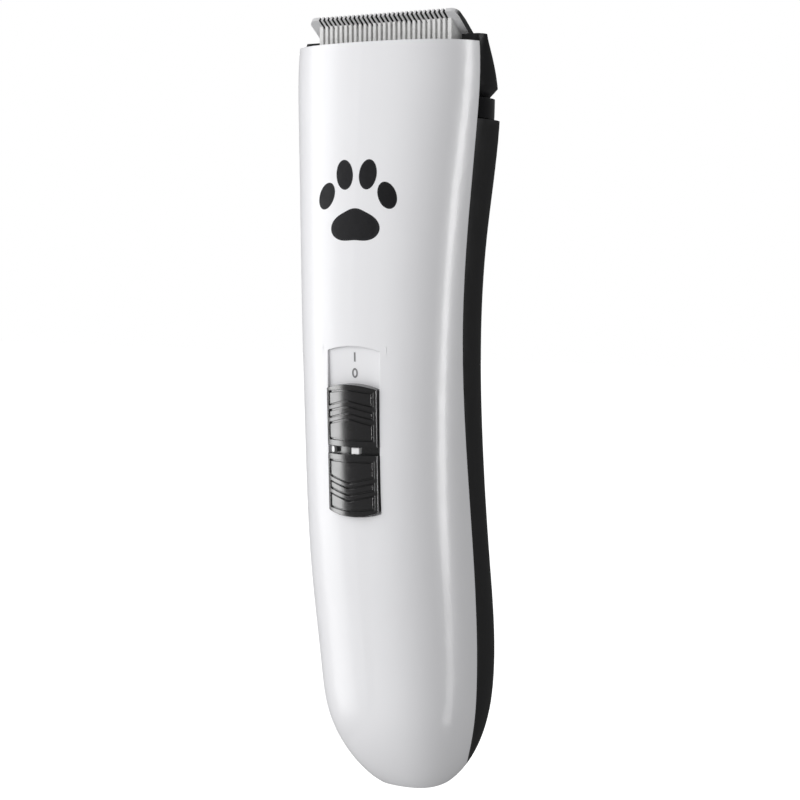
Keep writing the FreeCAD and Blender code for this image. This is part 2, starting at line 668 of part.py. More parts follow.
def slope_cylinder(name, across, low, radius, height):
    """A cylinder square to the comb, through one of its screw holes."""
    item = doc.addObject("Part::Cylinder", name)
    item.Placement = SLOPE.multiply(Placement(Vector(across, SCREW_ROW, low), Rotation()))
    return bind(item, Radius=radius, Height=height)


# height and depth reach of each section of the dome that rounds off the head's back
DOME = ((160.0, 24.0), (167.8, 23.9), (172.0, 20.8), (175.5, 16.0), (size("head_top"), 7.7))
DOME_CENTRE = -10.0
DOME_HALF = 24.2
dome_rings = []
for height, reach in DOME:
    centre = Vector(0, DOME_CENTRE, height)
    oval = Part.Ellipse(centre + Vector(DOME_HALF, 0, 0), centre + Vector(0, reach, 0), centre)
    dome_rings.append(Part.Wire([oval.toShape()]))
head_dome = feature("head_dome", Part.makeLoft(dome_rings, True, False))
head_rear_space = feature("head_rear_space", seam_side(0.3, False))
head_slab = box("head_slab", -FAR, -FAR, "head_floor", 2 * FAR, 2 * FAR, 40)
plug_slab = middle_box("plug_slab", "comb_half + 0.2", -FAR, "head_floor", 2 * FAR,
                       "shell_top - 1.4 - head_floor")
head_rear = common("head_rear", skin, head_rear_space, head_slab, head_dome)
doc.recompute()


def under_edges(shape, height):
    """The long outer edges of a shape's underside."""
    found = []
    for edge in shape.Edges:
        box_of = edge.BoundBox
        flat = abs(box_of.ZMin - height) < 1e-3 and abs(box_of.ZMax - height) < 1e-3
        if flat and edge.Curve.TypeId != "Part::GeomLine" and edge.Length > 8:
            found.append(edge)
    return found


head_rear_shape = head_rear.Shape.makeChamfer(2.2, under_edges(head_rear.Shape, size("head_floor")))
head_rear_lip = feature("head_rear_lip", head_rear_shape)
head_plug = common("head_plug", liner, plug_slab)
head_solid = fuse("head_solid", head_rear_lip, head_plug, *knuckles)
cut("head_base", head_solid,
    middle_box("blade_pocket", 19.2, -21.5, "head_floor + 2", 14.0, 40),
    middle_box("driver_window", 7.0, "motor_depth - 6", "head_floor - 5", 12, 13),
    slope_box("comb_seat", 20.3, -4.0, "comb_length + 4.4", 0, 12),
    cylinder("knuckle_bore", "-30", "hinge_depth", "hinge_height", "hinge_pin + 0.04", 60, "x"),
    slope_cylinder("seat_pilot_a", 14.0, -4.8, 0.85, 6), slope_cylinder("seat_pilot_b", -14.0, -4.8, 0.85, 6))

comb = body("comb_blade")
GUARD = 1.7
half = size("comb_half")
reach = size("comb_length")
corner = GUARD * (1 - math.sqrt(0.5))
comb_edges = [Part.LineSegment(Vector(half, GUARD, 0), Vector(half, reach, 0)),
              Part.LineSegment(Vector(half, reach, 0), Vector(-half, reach, 0)),
              Part.LineSegment(Vector(-half, reach, 0), Vector(-half, GUARD, 0)),
              Part.Arc(Vector(-half, GUARD, 0), Vector(-half + corner, corner, 0), Vector(-half + GUARD, 0, 0)),
              Part.LineSegment(Vector(-half + GUARD, 0, 0), Vector(half - GUARD, 0, 0)),
              Part.Arc(Vector(half - GUARD, 0, 0), Vector(half - corner, corner, 0), Vector(half, GUARD, 0))]
pad(comb, "comb_plate", sketch(comb, "comb_outline", "XY_Plane", comb_edges), "comb_thick")
bevel_sketch = sketch(comb, "comb_bevel_outline", "YZ_Plane", outline((-1, 0.9), (-1, 3), (4.4, 3), (4.4, 1.5)))
pocket(comb, "comb_bevel", bevel_sketch, "4 * comb_half", both=True)
first = -size("comb_pitch") * (COMB_SLOTS - 1) / 2
gap = size("comb_gap") / 2
deep = size("comb_slot")
slot_sketch = sketch(comb, "comb_slot_outline", "XY_Plane",
                     [Part.LineSegment(Vector(first - gap, deep, 0), Vector(first - gap, -1, 0)),
                      Part.LineSegment(Vector(first - gap, -1, 0), Vector(first + gap, -1, 0)),
                      Part.LineSegment(Vector(first + gap, -1, 0), Vector(first + gap, deep, 0)),
                      Part.Arc(Vector(first + gap, deep, 0), Vector(first, deep + gap, 0),
                               Vector(first - gap, deep, 0))])
comb_slot = pocket(comb, "comb_slot_cut", slot_sketch, "6 * comb_thick", both=True)
row_of(comb, "comb_slots", comb_slot, slot_sketch, "H_Axis", "comb_pitch", COMB_SLOTS)
hole_sketch = sketch(comb, "comb_hole_outline", "XY_Plane",
                     [Part.Circle(Vector(14, SCREW_ROW, 0), Vector(0, 0, 1), 1.2),
                      Part.Circle(Vector(-14, SCREW_ROW, 0), Vector(0, 0, 1), 1.2)])
pocket(comb, "comb_holes", hole_sketch, "6 * comb_thick", both=True)
comb.Placement = SLOPE

cutter = body("cutter_blade")
cutter_sketch = sketch(cutter, "cutter_outline", "YZ_Plane",
                       outline((0, 0), (6.6, -4.795), (4.6, -7.6), (0, -7.6)))
pad(cutter, "cutter_block", cutter_sketch, "2 * cutter_half", both=True)
first = -size("cutter_pitch") * (CUTTER_SLOTS - 1) / 2
gap = size("cutter_gap") / 2
cutter_slot_sketch = sketch(cutter, "cutter_slot_outline", "XY_Plane",
                            outline((first - gap, -1), (first + gap, -1),
                                    (first + gap, 3.0), (first - gap, 3.0)), -6.4)
cutter_slot = pocket(cutter, "cutter_slot_cut", cutter_slot_sketch, "10", reverse=True)
row_of(cutter, "cutter_slots", cutter_slot, cutter_slot_sketch, "H_Axis", "cutter_pitch", CUTTER_SLOTS)
REACH = 2.0
slope_angle = math.radians(size("blade_slope"))
CUTTER_AT = Vector(0, size("tip_depth") + REACH * math.cos(slope_angle),
                   size("tip_height") - REACH * math.sin(slope_angle) - 0.05)
cutter.Placement = Placement(CUTTER_AT, Rotation())

CUTTER_UNDER = CUTTER_AT.z - 7.6
driver_blank = fuse("driver_blank", middle_box("driver_block", 5.2, "motor_depth - 4.2", "161.9", 8.4, 9.6),
                    middle_box("driver_neck", 9.0, "motor_depth - 2.8", "171.3", 3.6, CUTTER_UNDER - 171.3))
cut("cutter_driver", driver_blank,
    middle_box("driver_slot", 3.25, "motor_depth - 3", "160", 6, "drive_pin_top - 160 + 1.5"))


def rod(points, radius):
    """A round bar along straight runs joined by tangent arcs."""
    edges = []
    start = points[0]
    for before, corner_point, after in zip(points, points[1:], points[2:]):
        into = corner_point - before
        out = after - corner_point
        turn = into.getAngle(out)
        cut_back = 0.45 * min(into.Length, out.Length)
        bend = cut_back / math.tan(turn / 2)
        into.normalize()
        out.normalize()
        enter = corner_point - into * cut_back
        leave = corner_point + out * cut_back
        centre_line = (out - into).normalize()
        centre = corner_point + centre_line * (bend / math.cos(turn / 2))
        middle = centre - centre_line * bend
        edges.append(Part.LineSegment(start, enter).toShape())
        edges.append(Part.Arc(enter, middle, leave).toShape())
        start = leave
    edges.append(Part.LineSegment(start, points[-1]).toShape())
    path = Part.Wire(edges)
    along = points[1] - points[0]
    profile = Part.Wire([Part.makeCircle(radius, points[0], along)])
    return path.makePipeShell([profile], True, True)


SPRING_DEPTH = CUTTER_AT.y + 5.64
SPRING_FOOT = size("head_floor") + 2.1
SPRING_HALF = 16.4
spring_points = []
for across, height in ((-1, SPRING_FOOT), (-1, CUTTER_UNDER), (1, CUTTER_UNDER), (1, SPRING_FOOT)):
    spring_points.append(Vector(across * SPRING_HALF, SPRING_DEPTH, height))
feature("blade_spring", rod(spring_points, 0.4))

blade_screws = []
for tag, across in (("_a", 14.0), ("_b", -14.0)):
    shank = slope_cylinder("blade_screw_shank" + tag, across, -4.6, 0.85, "4.7 + comb_thick")
    head = slope_cylinder("blade_screw_head" + tag, across, size("comb_thick") + 0.02, 1.9, 0.9)
    place = SLOPE.multiply(Placement(Vector(across, SCREW_ROW, 0), Rotation()))
    cross_place = place.multiply(Placement(Vector(-1.5, -0.25, size("comb_thick") + 0.5), Rotation()))
    cross = placed_box("blade_screw_cross" + tag, cross_place, 3, 0.5, 1)
    blade_screws.append(cut("blade_screw" + tag, fuse("blade_screw_blank" + tag, shank, head), cross))
compound("blade_screws", *blade_screws)

# ---------------------------------------------------------------- internal leads
PAD = size("board_face") + 0.05
LEADS = {
    "battery_lead_red": [(2.0, -12.8, 81.0), (2.0, -13.2, 86.5), (4.5, -13.8, 92.0), (6.0, -15.2, 97.5),
                         (6.0, PAD, 97.5)],
    "battery_lead_black": [(-2.0, -12.8, 28.0), (-3.2, -14.0, 36.0), (-5.5, -14.6, 45.0), (-7.0, -15.2, 56.0),
                           (-7.0, PAD, 56.0)],
    "jack_lead_red": [(1.6, -4.6, 18.5), (5.5, -10.0, 24.0), (8.2, -13.6, 34.0), (8.4, -15.0, 46.0),
                      (6.4, -15.2, 56.5), (6.4, PAD, 56.5)],
    "jack_lead_black": [(-1.6, -4.6, 18.5), (-5.8, -9.0, 22.5), (-9.4, -13.0, 33.0), (-10.0, -15.0, 46.0),
                        (-9.4, -15.2, 56.5), (-9.4, PAD, 56.5)],
    "motor_lead_red": [(6.0, -12.0, 113.9), (7.0, -12.6, 108.0), (6.0, -14.0, 102.5), (4.4, -15.2, 97.5),
                       (4.4, PAD, 97.5)],
    "motor_lead_black": [(-6.0, -12.0, 113.9), (-7.0, -12.6, 108.0), (-6.0, -14.0, 102.5), (-4.4, -15.2, 97.5),
                         (-4.4, PAD, 97.5)],
}
for name, points in LEADS.items():
    feature(name, rod([Vector(*point) for point in points], size("lead")))

# ---------------------------------------------------------------- check and write
doc.recompute()
NODES = ["front_shell", "rear_shell", "housing_screws", "switch_button", "button_insert", "slide_switch_body",
         "slide_switch_knob", "circuit_board", "board_components", "charge_jack", "jack_contacts", "battery_cell",
         "battery_tabs", "motor_can", "motor_end_cap", "motor_bearings", "motor_magnets", "motor_terminals",
         "motor_brushes", "motor_shaft", "armature_core", "armature_windings", "commutator", "motor_damper",
         "motor_bracket", "motor_screws", "eccentric_cam", "neck_block", "head_hinge_pin", "head_base",
         "comb_blade", "cutter_blade", "cutter_driver", "blade_spring", "blade_screws"] + list(LEADS)
faults = ["%s %s" % (item.Label, item.State) for item in doc.Objects if {"Invalid", "Error"} & set(item.State)]
by_label = {item.Label: item for item in doc.Objects}
for node in NODES:
    shape = by_label[node].Shape
    if shape.isNull() or not shape.isValid() or not shape.Solids:
        faults.append("%s has no valid solid" % node)
if faults:
    raise RuntimeError("; ".join(faults))
for node in NODES:
    shape = by_label[node].Shape
    shape.exportStep("parts/%s.step" % node)
    reach = shape.BoundBox
    print("%-20s solids %2d volume %9.2f" % (node, len(shape.Solids), shape.Volume),
          "x %.1f..%.1f y %.1f..%.1f" % (reach.XMin, reach.XMax, reach.YMin, reach.YMax),
          "z %.1f..%.1f" % (reach.ZMin, reach.ZMax))
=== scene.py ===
"""Electric pet clipper: finishes, printed marks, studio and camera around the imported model."""
import json
import math

import bmesh
import bpy
from bpy.props import FloatProperty, FloatVectorProperty, PointerProperty
from mathutils import Matrix, Vector
from mathutils.bvhtree import BVHTree


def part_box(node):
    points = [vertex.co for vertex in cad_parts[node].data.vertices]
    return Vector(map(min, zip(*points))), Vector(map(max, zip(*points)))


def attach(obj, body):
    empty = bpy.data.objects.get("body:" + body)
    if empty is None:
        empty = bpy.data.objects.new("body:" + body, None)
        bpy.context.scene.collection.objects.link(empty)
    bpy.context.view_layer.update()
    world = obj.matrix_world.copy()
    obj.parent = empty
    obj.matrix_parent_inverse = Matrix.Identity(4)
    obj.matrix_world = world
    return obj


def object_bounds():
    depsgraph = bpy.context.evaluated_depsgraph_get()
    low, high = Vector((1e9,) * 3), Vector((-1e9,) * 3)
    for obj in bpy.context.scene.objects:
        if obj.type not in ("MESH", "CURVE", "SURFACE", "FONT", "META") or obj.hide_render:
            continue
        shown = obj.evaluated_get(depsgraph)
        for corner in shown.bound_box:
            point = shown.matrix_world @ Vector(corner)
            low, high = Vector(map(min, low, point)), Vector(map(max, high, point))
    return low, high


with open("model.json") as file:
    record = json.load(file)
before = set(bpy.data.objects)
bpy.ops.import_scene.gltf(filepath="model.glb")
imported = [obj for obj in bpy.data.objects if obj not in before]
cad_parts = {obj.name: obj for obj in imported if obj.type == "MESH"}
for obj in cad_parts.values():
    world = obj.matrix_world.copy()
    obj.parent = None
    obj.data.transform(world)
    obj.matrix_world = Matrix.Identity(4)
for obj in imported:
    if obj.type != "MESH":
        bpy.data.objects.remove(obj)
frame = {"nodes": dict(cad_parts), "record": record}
CAD_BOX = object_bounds()
NODES = frame["nodes"]

bl_info = {
    "name": "Pet Clipper",
    "version": (1, 0, 0),
    "blender": (4, 5, 0),
    "location": "View3D > Sidebar > Clipper",
    "description": "Finishes, printed marks and studio for an electric pet clipper",
    "category": "Object",
}

MM = 0.001
ON_ABOVE_BUTTON = 6.1 * MM
OFF_ABOVE_BUTTON = 2.4 * MM
LOW, HIGH = (Vector(corner) for corner in CAD_BOX)
MIDDLE = (LOW + HIGH) / 2
CAMERA_TARGET = Vector((0.0001, -0.0079, 0.0944))
FLOOR_DROP = 0.12
FLOOR_REACH = 3.0
FILL = 0.48
FILL_IN_REFLECTIONS = 0.13


# ---------------------------------------------------------------- sizes and colours
def colour(label, text, value):
    """A colour setting with its default."""
    return FloatVectorProperty(name=label, description=text, subtype="COLOR", size=3, min=0.0, max=1.0, default=value)


def length(label, text, value):
    """A length setting in metres with its default."""
    return FloatProperty(name=label, description=text, subtype="DISTANCE", unit="LENGTH", default=value, precision=5)


class ClipperColours(bpy.types.PropertyGroup):
    """Colours of the visible finishes."""
    shell_white: colour("White shell", "Gloss plastic of the front casing", (0.84, 0.84, 0.86))
    shell_black: colour("Black shell", "Satin plastic of the rear casing and head", (0.012, 0.012, 0.013))
    ink: colour("Ink", "Dark ink of the printed paw", (0.012, 0.012, 0.014))
    mark: colour("Switch marks", "Grey ink of the on and off marks", (0.26, 0.26, 0.27))
    steel: colour("Steel", "Plated steel of the comb", (0.93, 0.93, 0.94))
    ceramic: colour("Ceramic", "White ceramic of the moving cutter", (0.86, 0.86, 0.85))
    floor: colour("Floor", "Pale studio floor", (0.93, 0.93, 0.93))


class ClipperSizes(bpy.types.PropertyGroup):
    """Sizes of the added pieces and the camera."""
    ink_thickness: length("Ink thickness", "How far printed ink stands off the shell", 0.00004)
    paw_width: length("Paw width", "Width of the printed paw", 0.0208)
    paw_height: length("Paw height", "Height of the paw's middle above the tail", 0.1414)
    mark_height: length("Mark height", "Height of the on and off marks", 0.0022)
    camera_distance: length("Camera distance", "Camera to the point it looks at", 0.440)
    camera_lens: FloatProperty(name="Lens", description="Focal length of the camera", default=82.69, unit="CAMERA")
    camera_turn: FloatProperty(name="Turn", description="Camera's turn round the clipper", subtype="ANGLE",
                               default=math.radians(31.0))
    camera_rise: FloatProperty(name="Rise", description="Camera's angle above level", subtype="ANGLE",
                               default=math.radians(5.0))


def colours():
    """The colour settings of the scene."""
    return bpy.context.scene.clipper_colours


def sizes():
    """The size settings of the scene."""
    return bpy.context.scene.clipper_sizes


# ---------------------------------------------------------------- material helpers
class Finish:
    """A node material built step by step around one Principled shader."""

    def __init__(self, name):
        self.material = bpy.data.materials.new(name)
        self.material.use_nodes = True
        self.tree = self.material.node_tree
        self.shader = self.tree.nodes["Principled BSDF"]
        self.place = self.node("ShaderNodeTexCoord").outputs["Object"]

    def node(self, kind, **settings):
        """A new node with its own settings."""
        item = self.tree.nodes.new(kind)
        for key, value in settings.items():
            setattr(item, key, value)
        return item

    def link(self, source, target):
        """Join two sockets."""
        self.tree.links.new(source, target)

    def set(self, **values):
        """Constant values on the shader's own sockets."""
        for key, value in values.items():
            socket = self.shader.inputs[key.replace("_", " ")]
            socket.default_value = (*value, 1.0) if hasattr(value, "__len__") else value
        return self

    def stretched(self, scale):
        """Object coordinates scaled differently along each axis."""
        mapping = self.node("ShaderNodeMapping")
        self.link(self.place, mapping.inputs["Vector"])
        mapping.inputs["Scale"].default_value = scale
        return mapping.outputs["Vector"]

    def noise(self, size, detail=3.0, scale=(1.0, 1.0, 1.0)):
        """Noise whose grain is about the given size in metres."""
        item = self.node("ShaderNodeTexNoise")
        item.inputs["Scale"].default_value = 1.0 / size
        item.inputs["Detail"].default_value = detail
        self.link(self.stretched(scale), item.inputs["Vector"])
        return item.outputs["Fac"]

    def ramp(self, source, low, high, start=0.3, end=0.7):
        """Map a value between two colours or two numbers."""
        item = self.node("ShaderNodeValToRGB")
        for stop, value, where in zip(item.color_ramp.elements, (low, high), (start, end)):
            stop.color = (*value, 1.0) if hasattr(value, "__len__") else (value, value, value, 1.0)
            stop.position = where
        self.link(source, item.inputs["Fac"])
        return item.outputs["Color"]

    def shade(self, source, base, spread=0.06):
        """A base colour that varies a little with the source."""
        low = tuple(channel * (1 - spread) for channel in base)
        high = tuple(min(channel * (1 + spread), 1.0) for channel in base)
        self.link(self.ramp(source, low, high), self.shader.inputs["Base Color"])
        return self

    def rough(self, source, low, high):
        """Roughness that varies between two values."""
        self.link(self.ramp(source, low, high), self.shader.inputs["Roughness"])
        return self

    def soft_edges(self, radius):
        """Shading that rounds sharp edges over a radius in metres."""
        item = self.node("ShaderNodeBevel", samples=4)
        item.inputs["Radius"].default_value = radius
        self.link(item.outputs["Normal"], self.shader.inputs["Normal"])
        return self

    def bump(self, source, depth, strength=1.0):
        """Surface relief of a depth in metres."""
        item = self.node("ShaderNodeBump")
        item.inputs["Strength"].default_value = strength
        item.inputs["Distance"].default_value = depth
        self.link(source, item.inputs["Height"])
        previous = self.shader.inputs["Normal"].links
        if previous:
            self.link(previous[0].from_socket, item.inputs["Normal"])
        self.link(item.outputs["Normal"], self.shader.inputs["Normal"])
        return self


def gloss_plastic(name, base, roughness=0.36, coat=0.2):
    """Moulded gloss plastic with faint orange peel, and softened edges."""
    finish = Finish(name).set(IOR=1.5, Coat_Weight=coat, Coat_Roughness=0.16)
    finish.shade(finish.noise(0.02), base, 0.006)
    finish.rough(finish.noise(0.006), roughness * 0.94, roughness * 1.06)
    return finish.soft_edges(0.00035).bump(finish.noise(0.003, 1.0), 0.00001, 0.12).material


def satin_plastic(name, base, roughness=0.45, shine=0.2, grain=0.0003):
    """Spark-textured satin plastic, its edges a little rubbed."""
    finish = Finish(name).set(IOR=1.48, Specular_IOR_Level=shine)
    rubbed = finish.node("ShaderNodeNewGeometry").outputs["Pointiness"]
    worn = finish.ramp(rubbed, base, tuple(min(channel * 2.2 + 0.01, 1.0) for channel in base), 0.53, 0.62)
    speckle = finish.node("ShaderNodeMix", data_type="RGBA", blend_type="MULTIPLY")
    speckle.inputs["Factor"].default_value = 1.0
    finish.link(worn, speckle.inputs[6])
    finish.link(finish.ramp(finish.noise(0.0006), 0.8, 1.0), speckle.inputs[7])
    finish.link(speckle.outputs[2], finish.shader.inputs["Base Color"])
    finish.rough(finish.noise(0.004), roughness * 0.9, roughness * 1.1)
    return finish.soft_edges(0.0002).bump(finish.noise(grain, 2.0), 0.00003, 0.4).material


def button_plastic(name, base):
    """Polished black plastic, brighter in reflection than the casing."""
    finish = Finish(name).set(IOR=1.9, Specular_IOR_Level=0.85)
    finish.shade(finish.noise(0.001), base, 0.3)
    finish.rough(finish.noise(0.003), 0.21, 0.27)
    return finish.soft_edges(0.00025).bump(finish.noise(0.0012, 2.0), 0.00001, 0.3).material


def metal(name, base, roughness=0.25, grain=(1.0, 40.0, 1.0), relief=0.000004, metallic=1.0):
    """Ground or drawn metal with a directional grain."""
    finish = Finish(name).set(Metallic=metallic)
    grain_map = finish.noise(0.004, 4.0, grain)
    finish.shade(grain_map, base, 0.1)
    finish.rough(grain_map, roughness * 0.7, roughness * 1.3)
    return finish.bump(grain_map, relief, 0.5).material


def comb_metal(name, base):
    """Bright plated steel, its sideways-facing slot walls darkened to near black as painted shade."""
    finish = Finish(name).set(Metallic=0.3)
    grain_map = finish.noise(0.004, 4.0, (1.0, 40.0, 1.0))
    facing = finish.node("ShaderNodeSeparateXYZ")
    finish.link(finish.node("ShaderNodeTexCoord").outputs["Normal"], facing.inputs["Vector"])
    sideways = finish.node("ShaderNodeMath", operation="ABSOLUTE")
    finish.link(facing.outputs["X"], sideways.inputs[0])
    # painted shade: faces turned sideways, the slot walls, get a near-black base colour in place of their shadow
    painted_slot_shade = finish.ramp(sideways.outputs["Value"], (1.0, 1.0, 1.0), (0.03, 0.03, 0.032), 0.6, 0.85)
    tone = finish.node("ShaderNodeMix", data_type="RGBA", blend_type="MULTIPLY")
    tone.inputs["Factor"].default_value = 1.0
    finish.link(painted_slot_shade, tone.inputs[6])
    finish.link(finish.ramp(grain_map, tuple(channel * 0.92 for channel in base), base), tone.inputs[7])
    finish.link(tone.outputs[2], finish.shader.inputs["Base Color"])
    finish.rough(grain_map, 0.3, 0.45)
    return finish.bump(grain_map, 0.000004, 0.5).material


def ceramic(name, base):
    """Fine sintered ceramic."""
    finish = Finish(name).set(IOR=1.6, Coat_Weight=0.3, Coat_Roughness=0.1)
    finish.shade(finish.noise(0.002), base, 0.02)
    finish.rough(finish.noise(0.0012), 0.22, 0.36)
    return finish.bump(finish.noise(0.0002), 0.000004, 0.4).material


def rubbery(name, base):
    """Soft rubber or sleeve with a dull skin."""
    finish = Finish(name).set(IOR=1.45)
    finish.shade(finish.noise(0.004), base, 0.15)
    finish.rough(finish.noise(0.002), 0.5, 0.7)
    return finish.bump(finish.noise(0.0005), 0.00001, 0.5).material


def finishes():
    """Every slot of the record and the material it wears."""
    tones = colours()
    black, steel = tuple(tones.shell_black), tuple(tones.steel)
    made = {
        "shell_white": gloss_plastic("shell_white", tuple(tones.shell_white)),
        "shell_black": satin_plastic("shell_black", black),
        "head_black": satin_plastic("head_black", black, 0.4, 0.12),
        "neck_gloss": satin_plastic("neck_gloss", (0.003, 0.003, 0.004), 0.12, 0.2),
        "button_black": button_plastic("button_black", (0.003, 0.003, 0.004)),
        "insert_white": gloss_plastic("insert_white", (0.9, 0.9, 0.9)),
        "comb_steel": comb_metal("comb_steel", steel),
        "cutter_ceramic": ceramic("cutter_ceramic", tuple(tones.ceramic)),
        "cell_wrap": gloss_plastic("cell_wrap", (0.03, 0.14, 0.38)),
        "board_green": satin_plastic("board_green", (0.01, 0.12, 0.04), 0.35),
        "damper_rubber": rubbery("damper_rubber", (0.02, 0.02, 0.02)),
        "lead_red": rubbery("lead_red", (0.5, 0.02, 0.02)),
        "lead_black": rubbery("lead_black", (0.012, 0.012, 0.012)),
        "magnet_grey": satin_plastic("magnet_grey", (0.06, 0.06, 0.065), 0.5),
        "winding_copper": metal("winding_copper", (0.72, 0.3, 0.12), 0.3, (1.0, 1.0, 30.0), 0.00002),
        "contact_brass": metal("contact_brass", (0.78, 0.58, 0.26), 0.25),
        "bearing_bronze": metal("bearing_bronze", (0.5, 0.32, 0.16), 0.4),
    }
    for slot in ("screw_steel", "shaft_steel", "spring_steel", "core_steel", "motor_steel", "switch_metal",
                 "nickel_tab"):
        made[slot] = metal(slot, (0.5, 0.5, 0.51), 0.3)
    for slot, base in (("driver_plastic", (0.72, 0.72, 0.7)), ("cam_plastic", (0.66, 0.66, 0.62)),
                       ("inner_plastic", (0.02, 0.02, 0.022)), ("component_black", (0.01, 0.01, 0.01)),
                       ("jack_plastic", (0.012, 0.012, 0.012))):
        made[slot] = satin_plastic(slot, base)
    return made


# ---------------------------------------------------------------- printed marks
def mesh_piece(name, make, body, material):
    """A new piece from a bmesh-making function, finished and riding on a body."""
    mesh = bpy.data.meshes.new(name)
    shape = bmesh.new()
    make(shape)
    bmesh.ops.recalc_face_normals(shape, faces=shape.faces)
    shape.to_mesh(mesh)
    shape.free()
    piece = bpy.data.objects.new(name, mesh)
    bpy.context.scene.collection.objects.link(piece)
    mesh.materials.append(material)
    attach(piece, body)
    return piece


def surface_of(node):
    """A tree of a CAD node's faces for finding its surface."""
    return BVHTree.FromObject(NODES[node], bpy.context.evaluated_depsgraph_get())


def printed(shape, rings, tree, lift):
    """Outlines of (x, z) points, filled by rings of small faces and laid on the front of a surface as thin ink."""
    steps = 6
    for ring in rings:
        centre = sum((Vector(point) for point in ring), Vector((0.0, 0.0))) / len(ring)
        layers = []
        for layer in range(1, steps + 1):
            share = layer / steps
            layers.append([centre.lerp(Vector(point), share) for point in ring])

        def lay(point):
            hit = tree.ray_cast(Vector((point.x, LOW.y - 0.02, point.y)), Vector((0, 1, 0)))
            return shape.verts.new(hit[0] + hit[1] * lift)

        hub = lay(centre)
        rows = [[lay(point) for point in layer] for layer in layers]
        count = len(ring)
        for index in range(count):
            after = (index + 1) % count
            shape.faces.new((hub, rows[0][index], rows[0][after]))
            for inner, outer in zip(rows, rows[1:]):
                shape.faces.new((inner[index], outer[index], outer[after], inner[after]))
        foot = [shape.verts.new(vertex.co + Vector((0, 2 * lift, 0))) for vertex in rows[-1]]
        for index in range(count):
            after = (index + 1) % count
            shape.faces.new((rows[-1][index], foot[index], foot[after], rows[-1][after]))


def ellipse(x, z, wide, tall, lean=0.0, count=40, pinch=0.0):
    """Points of an ellipse, leaning by an angle and pinched towards its top."""
    points = []
    for index in range(count):
        angle = 2 * math.pi * index / count
        across = wide * math.cos(angle) * (1 - pinch * math.sin(angle))
        up = tall * math.sin(angle)
        points.append((x + across * math.cos(lean) - up * math.sin(lean),
                       z + across * math.sin(lean) + up * math.cos(lean)))
    return points


class CLIPPER_OT_finishes(bpy.types.Operator):
    """Give every CAD piece its own procedural finish"""
    bl_idname = "clipper.finishes"
    bl_label = "Finish the pieces"

    def execute(self, context):
        made = finishes()
        for part in frame["record"]["subparts"]:
            item = NODES[part["node"]]
            item.data.materials.clear()
            item.data.materials.append(made[part["material_slot"]])
        return {"FINISHED"}


class CLIPPER_OT_paw(bpy.types.Operator):
    """Print the paw on the front shell"""
    bl_idname = "clipper.paw"
    bl_label = "Print the paw"

    def execute(self, context):
        unit = sizes().paw_width / 10
        height = sizes().paw_height
        pads = []
        for across, up, wide, tall, lean in ((3.9, 0.6, 1.05, 1.55, 0.42), (1.5, 2.9, 1.1, 1.65, -0.12)):
            for side in (-1, 1):
                pads.append(ellipse(side * across * unit, height + up * unit, wide * unit, tall * unit, side * lean))
        palm = []
        for index in range(72):
            angle = 2 * math.pi * index / 72
            reach = 2.55 + 0.42 * math.cos(2 * angle) - 0.5 * math.sin(angle) - 0.3 * math.sin(3 * angle)
            palm.append((reach * math.cos(angle) * unit, height + (reach * math.sin(angle) * 0.82 - 2.35) * unit))
        ink = satin_plastic("paw_ink", tuple(colours().ink), 0.5)
        tree = surface_of("front_shell")
        lift = sizes().ink_thickness
        mesh_piece("printed_paw", lambda shape: printed(shape, pads + [palm], tree, lift),
                   "casing", ink)
        return {"FINISHED"}


class CLIPPER_OT_marks(bpy.types.Operator):
    """Print the on and off marks in the switch recess"""
    bl_idname = "clipper.marks"
    bl_label = "Print the switch marks"

    def execute(self, context):
        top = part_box("switch_button")[1][2]
        tall = sizes().mark_height
        stroke = tall * 0.1
        tree = surface_of("front_shell")
        lift = sizes().ink_thickness
        ink = satin_plastic("mark_ink", tuple(colours().mark), 0.5)
        on_height = top + ON_ABOVE_BUTTON
        off_height = top + OFF_ABOVE_BUTTON
        bar = [(-stroke, on_height - tall / 2), (stroke, on_height - tall / 2),
               (stroke, on_height + tall / 2), (-stroke, on_height + tall / 2)]

        def ring(shape):
            count = 48
            outer = ellipse(0.0, off_height, tall * 0.36, tall * 0.52, count=count)
            inner = ellipse(0.0, off_height, tall * 0.36 - 2 * stroke, tall * 0.52 - 2 * stroke, count=count)
            rows = []
            for points in (outer, inner):
                row = []
                for x, z in points:
                    hit = tree.ray_cast(Vector((x, LOW.y - 0.02, z)), Vector((0, 1, 0)))
                    row.append(shape.verts.new(hit[0] + hit[1] * lift))
                rows.append(row)
            for index in range(count):
                after = (index + 1) % count
                shape.faces.new((rows[0][index], rows[0][after], rows[1][after], rows[1][index]))

        mesh_piece("on_mark", lambda shape: printed(shape, [bar], tree, lift),
                   "casing", ink)
        mesh_piece("off_mark", ring, "casing", ink)
        return {"FINISHED"}


# ---------------------------------------------------------------- studio
def soft_light(name, place, target, wide, tall, power):
    """A soft box that faces a target."""
    data = bpy.data.lights.new(name, "AREA")
    data.shape = "RECTANGLE"
    data.size, data.size_y, data.energy = wide, tall, power
    lamp = bpy.data.objects.new(name, data)
    bpy.context.scene.collection.objects.link(lamp)
    place, target = Vector(place), Vector(target)
    lamp.matrix_world = Matrix.Translation(place) @ (target - place).to_track_quat("-Z", "Y").to_matrix().to_4x4()
    return lamp


def sheet(name, reach, height, material):
    """A level square of paper under the clipper, which throws no light of its own onto it."""
    mesh = bpy.data.meshes.new(name)
    shape = bmesh.new()
    shape.faces.new([shape.verts.new((x * reach, y * reach, height)) for x, y in ((-1, -1), (1, -1), (1, 1), (-1, 1))])
    shape.to_mesh(mesh)
    shape.free()
    mesh.materials.append(material)
    item = bpy.data.objects.new(name, mesh)
    bpy.context.scene.collection.objects.link(item)
    item.visible_diffuse = False
    item.visible_glossy = False
    return item


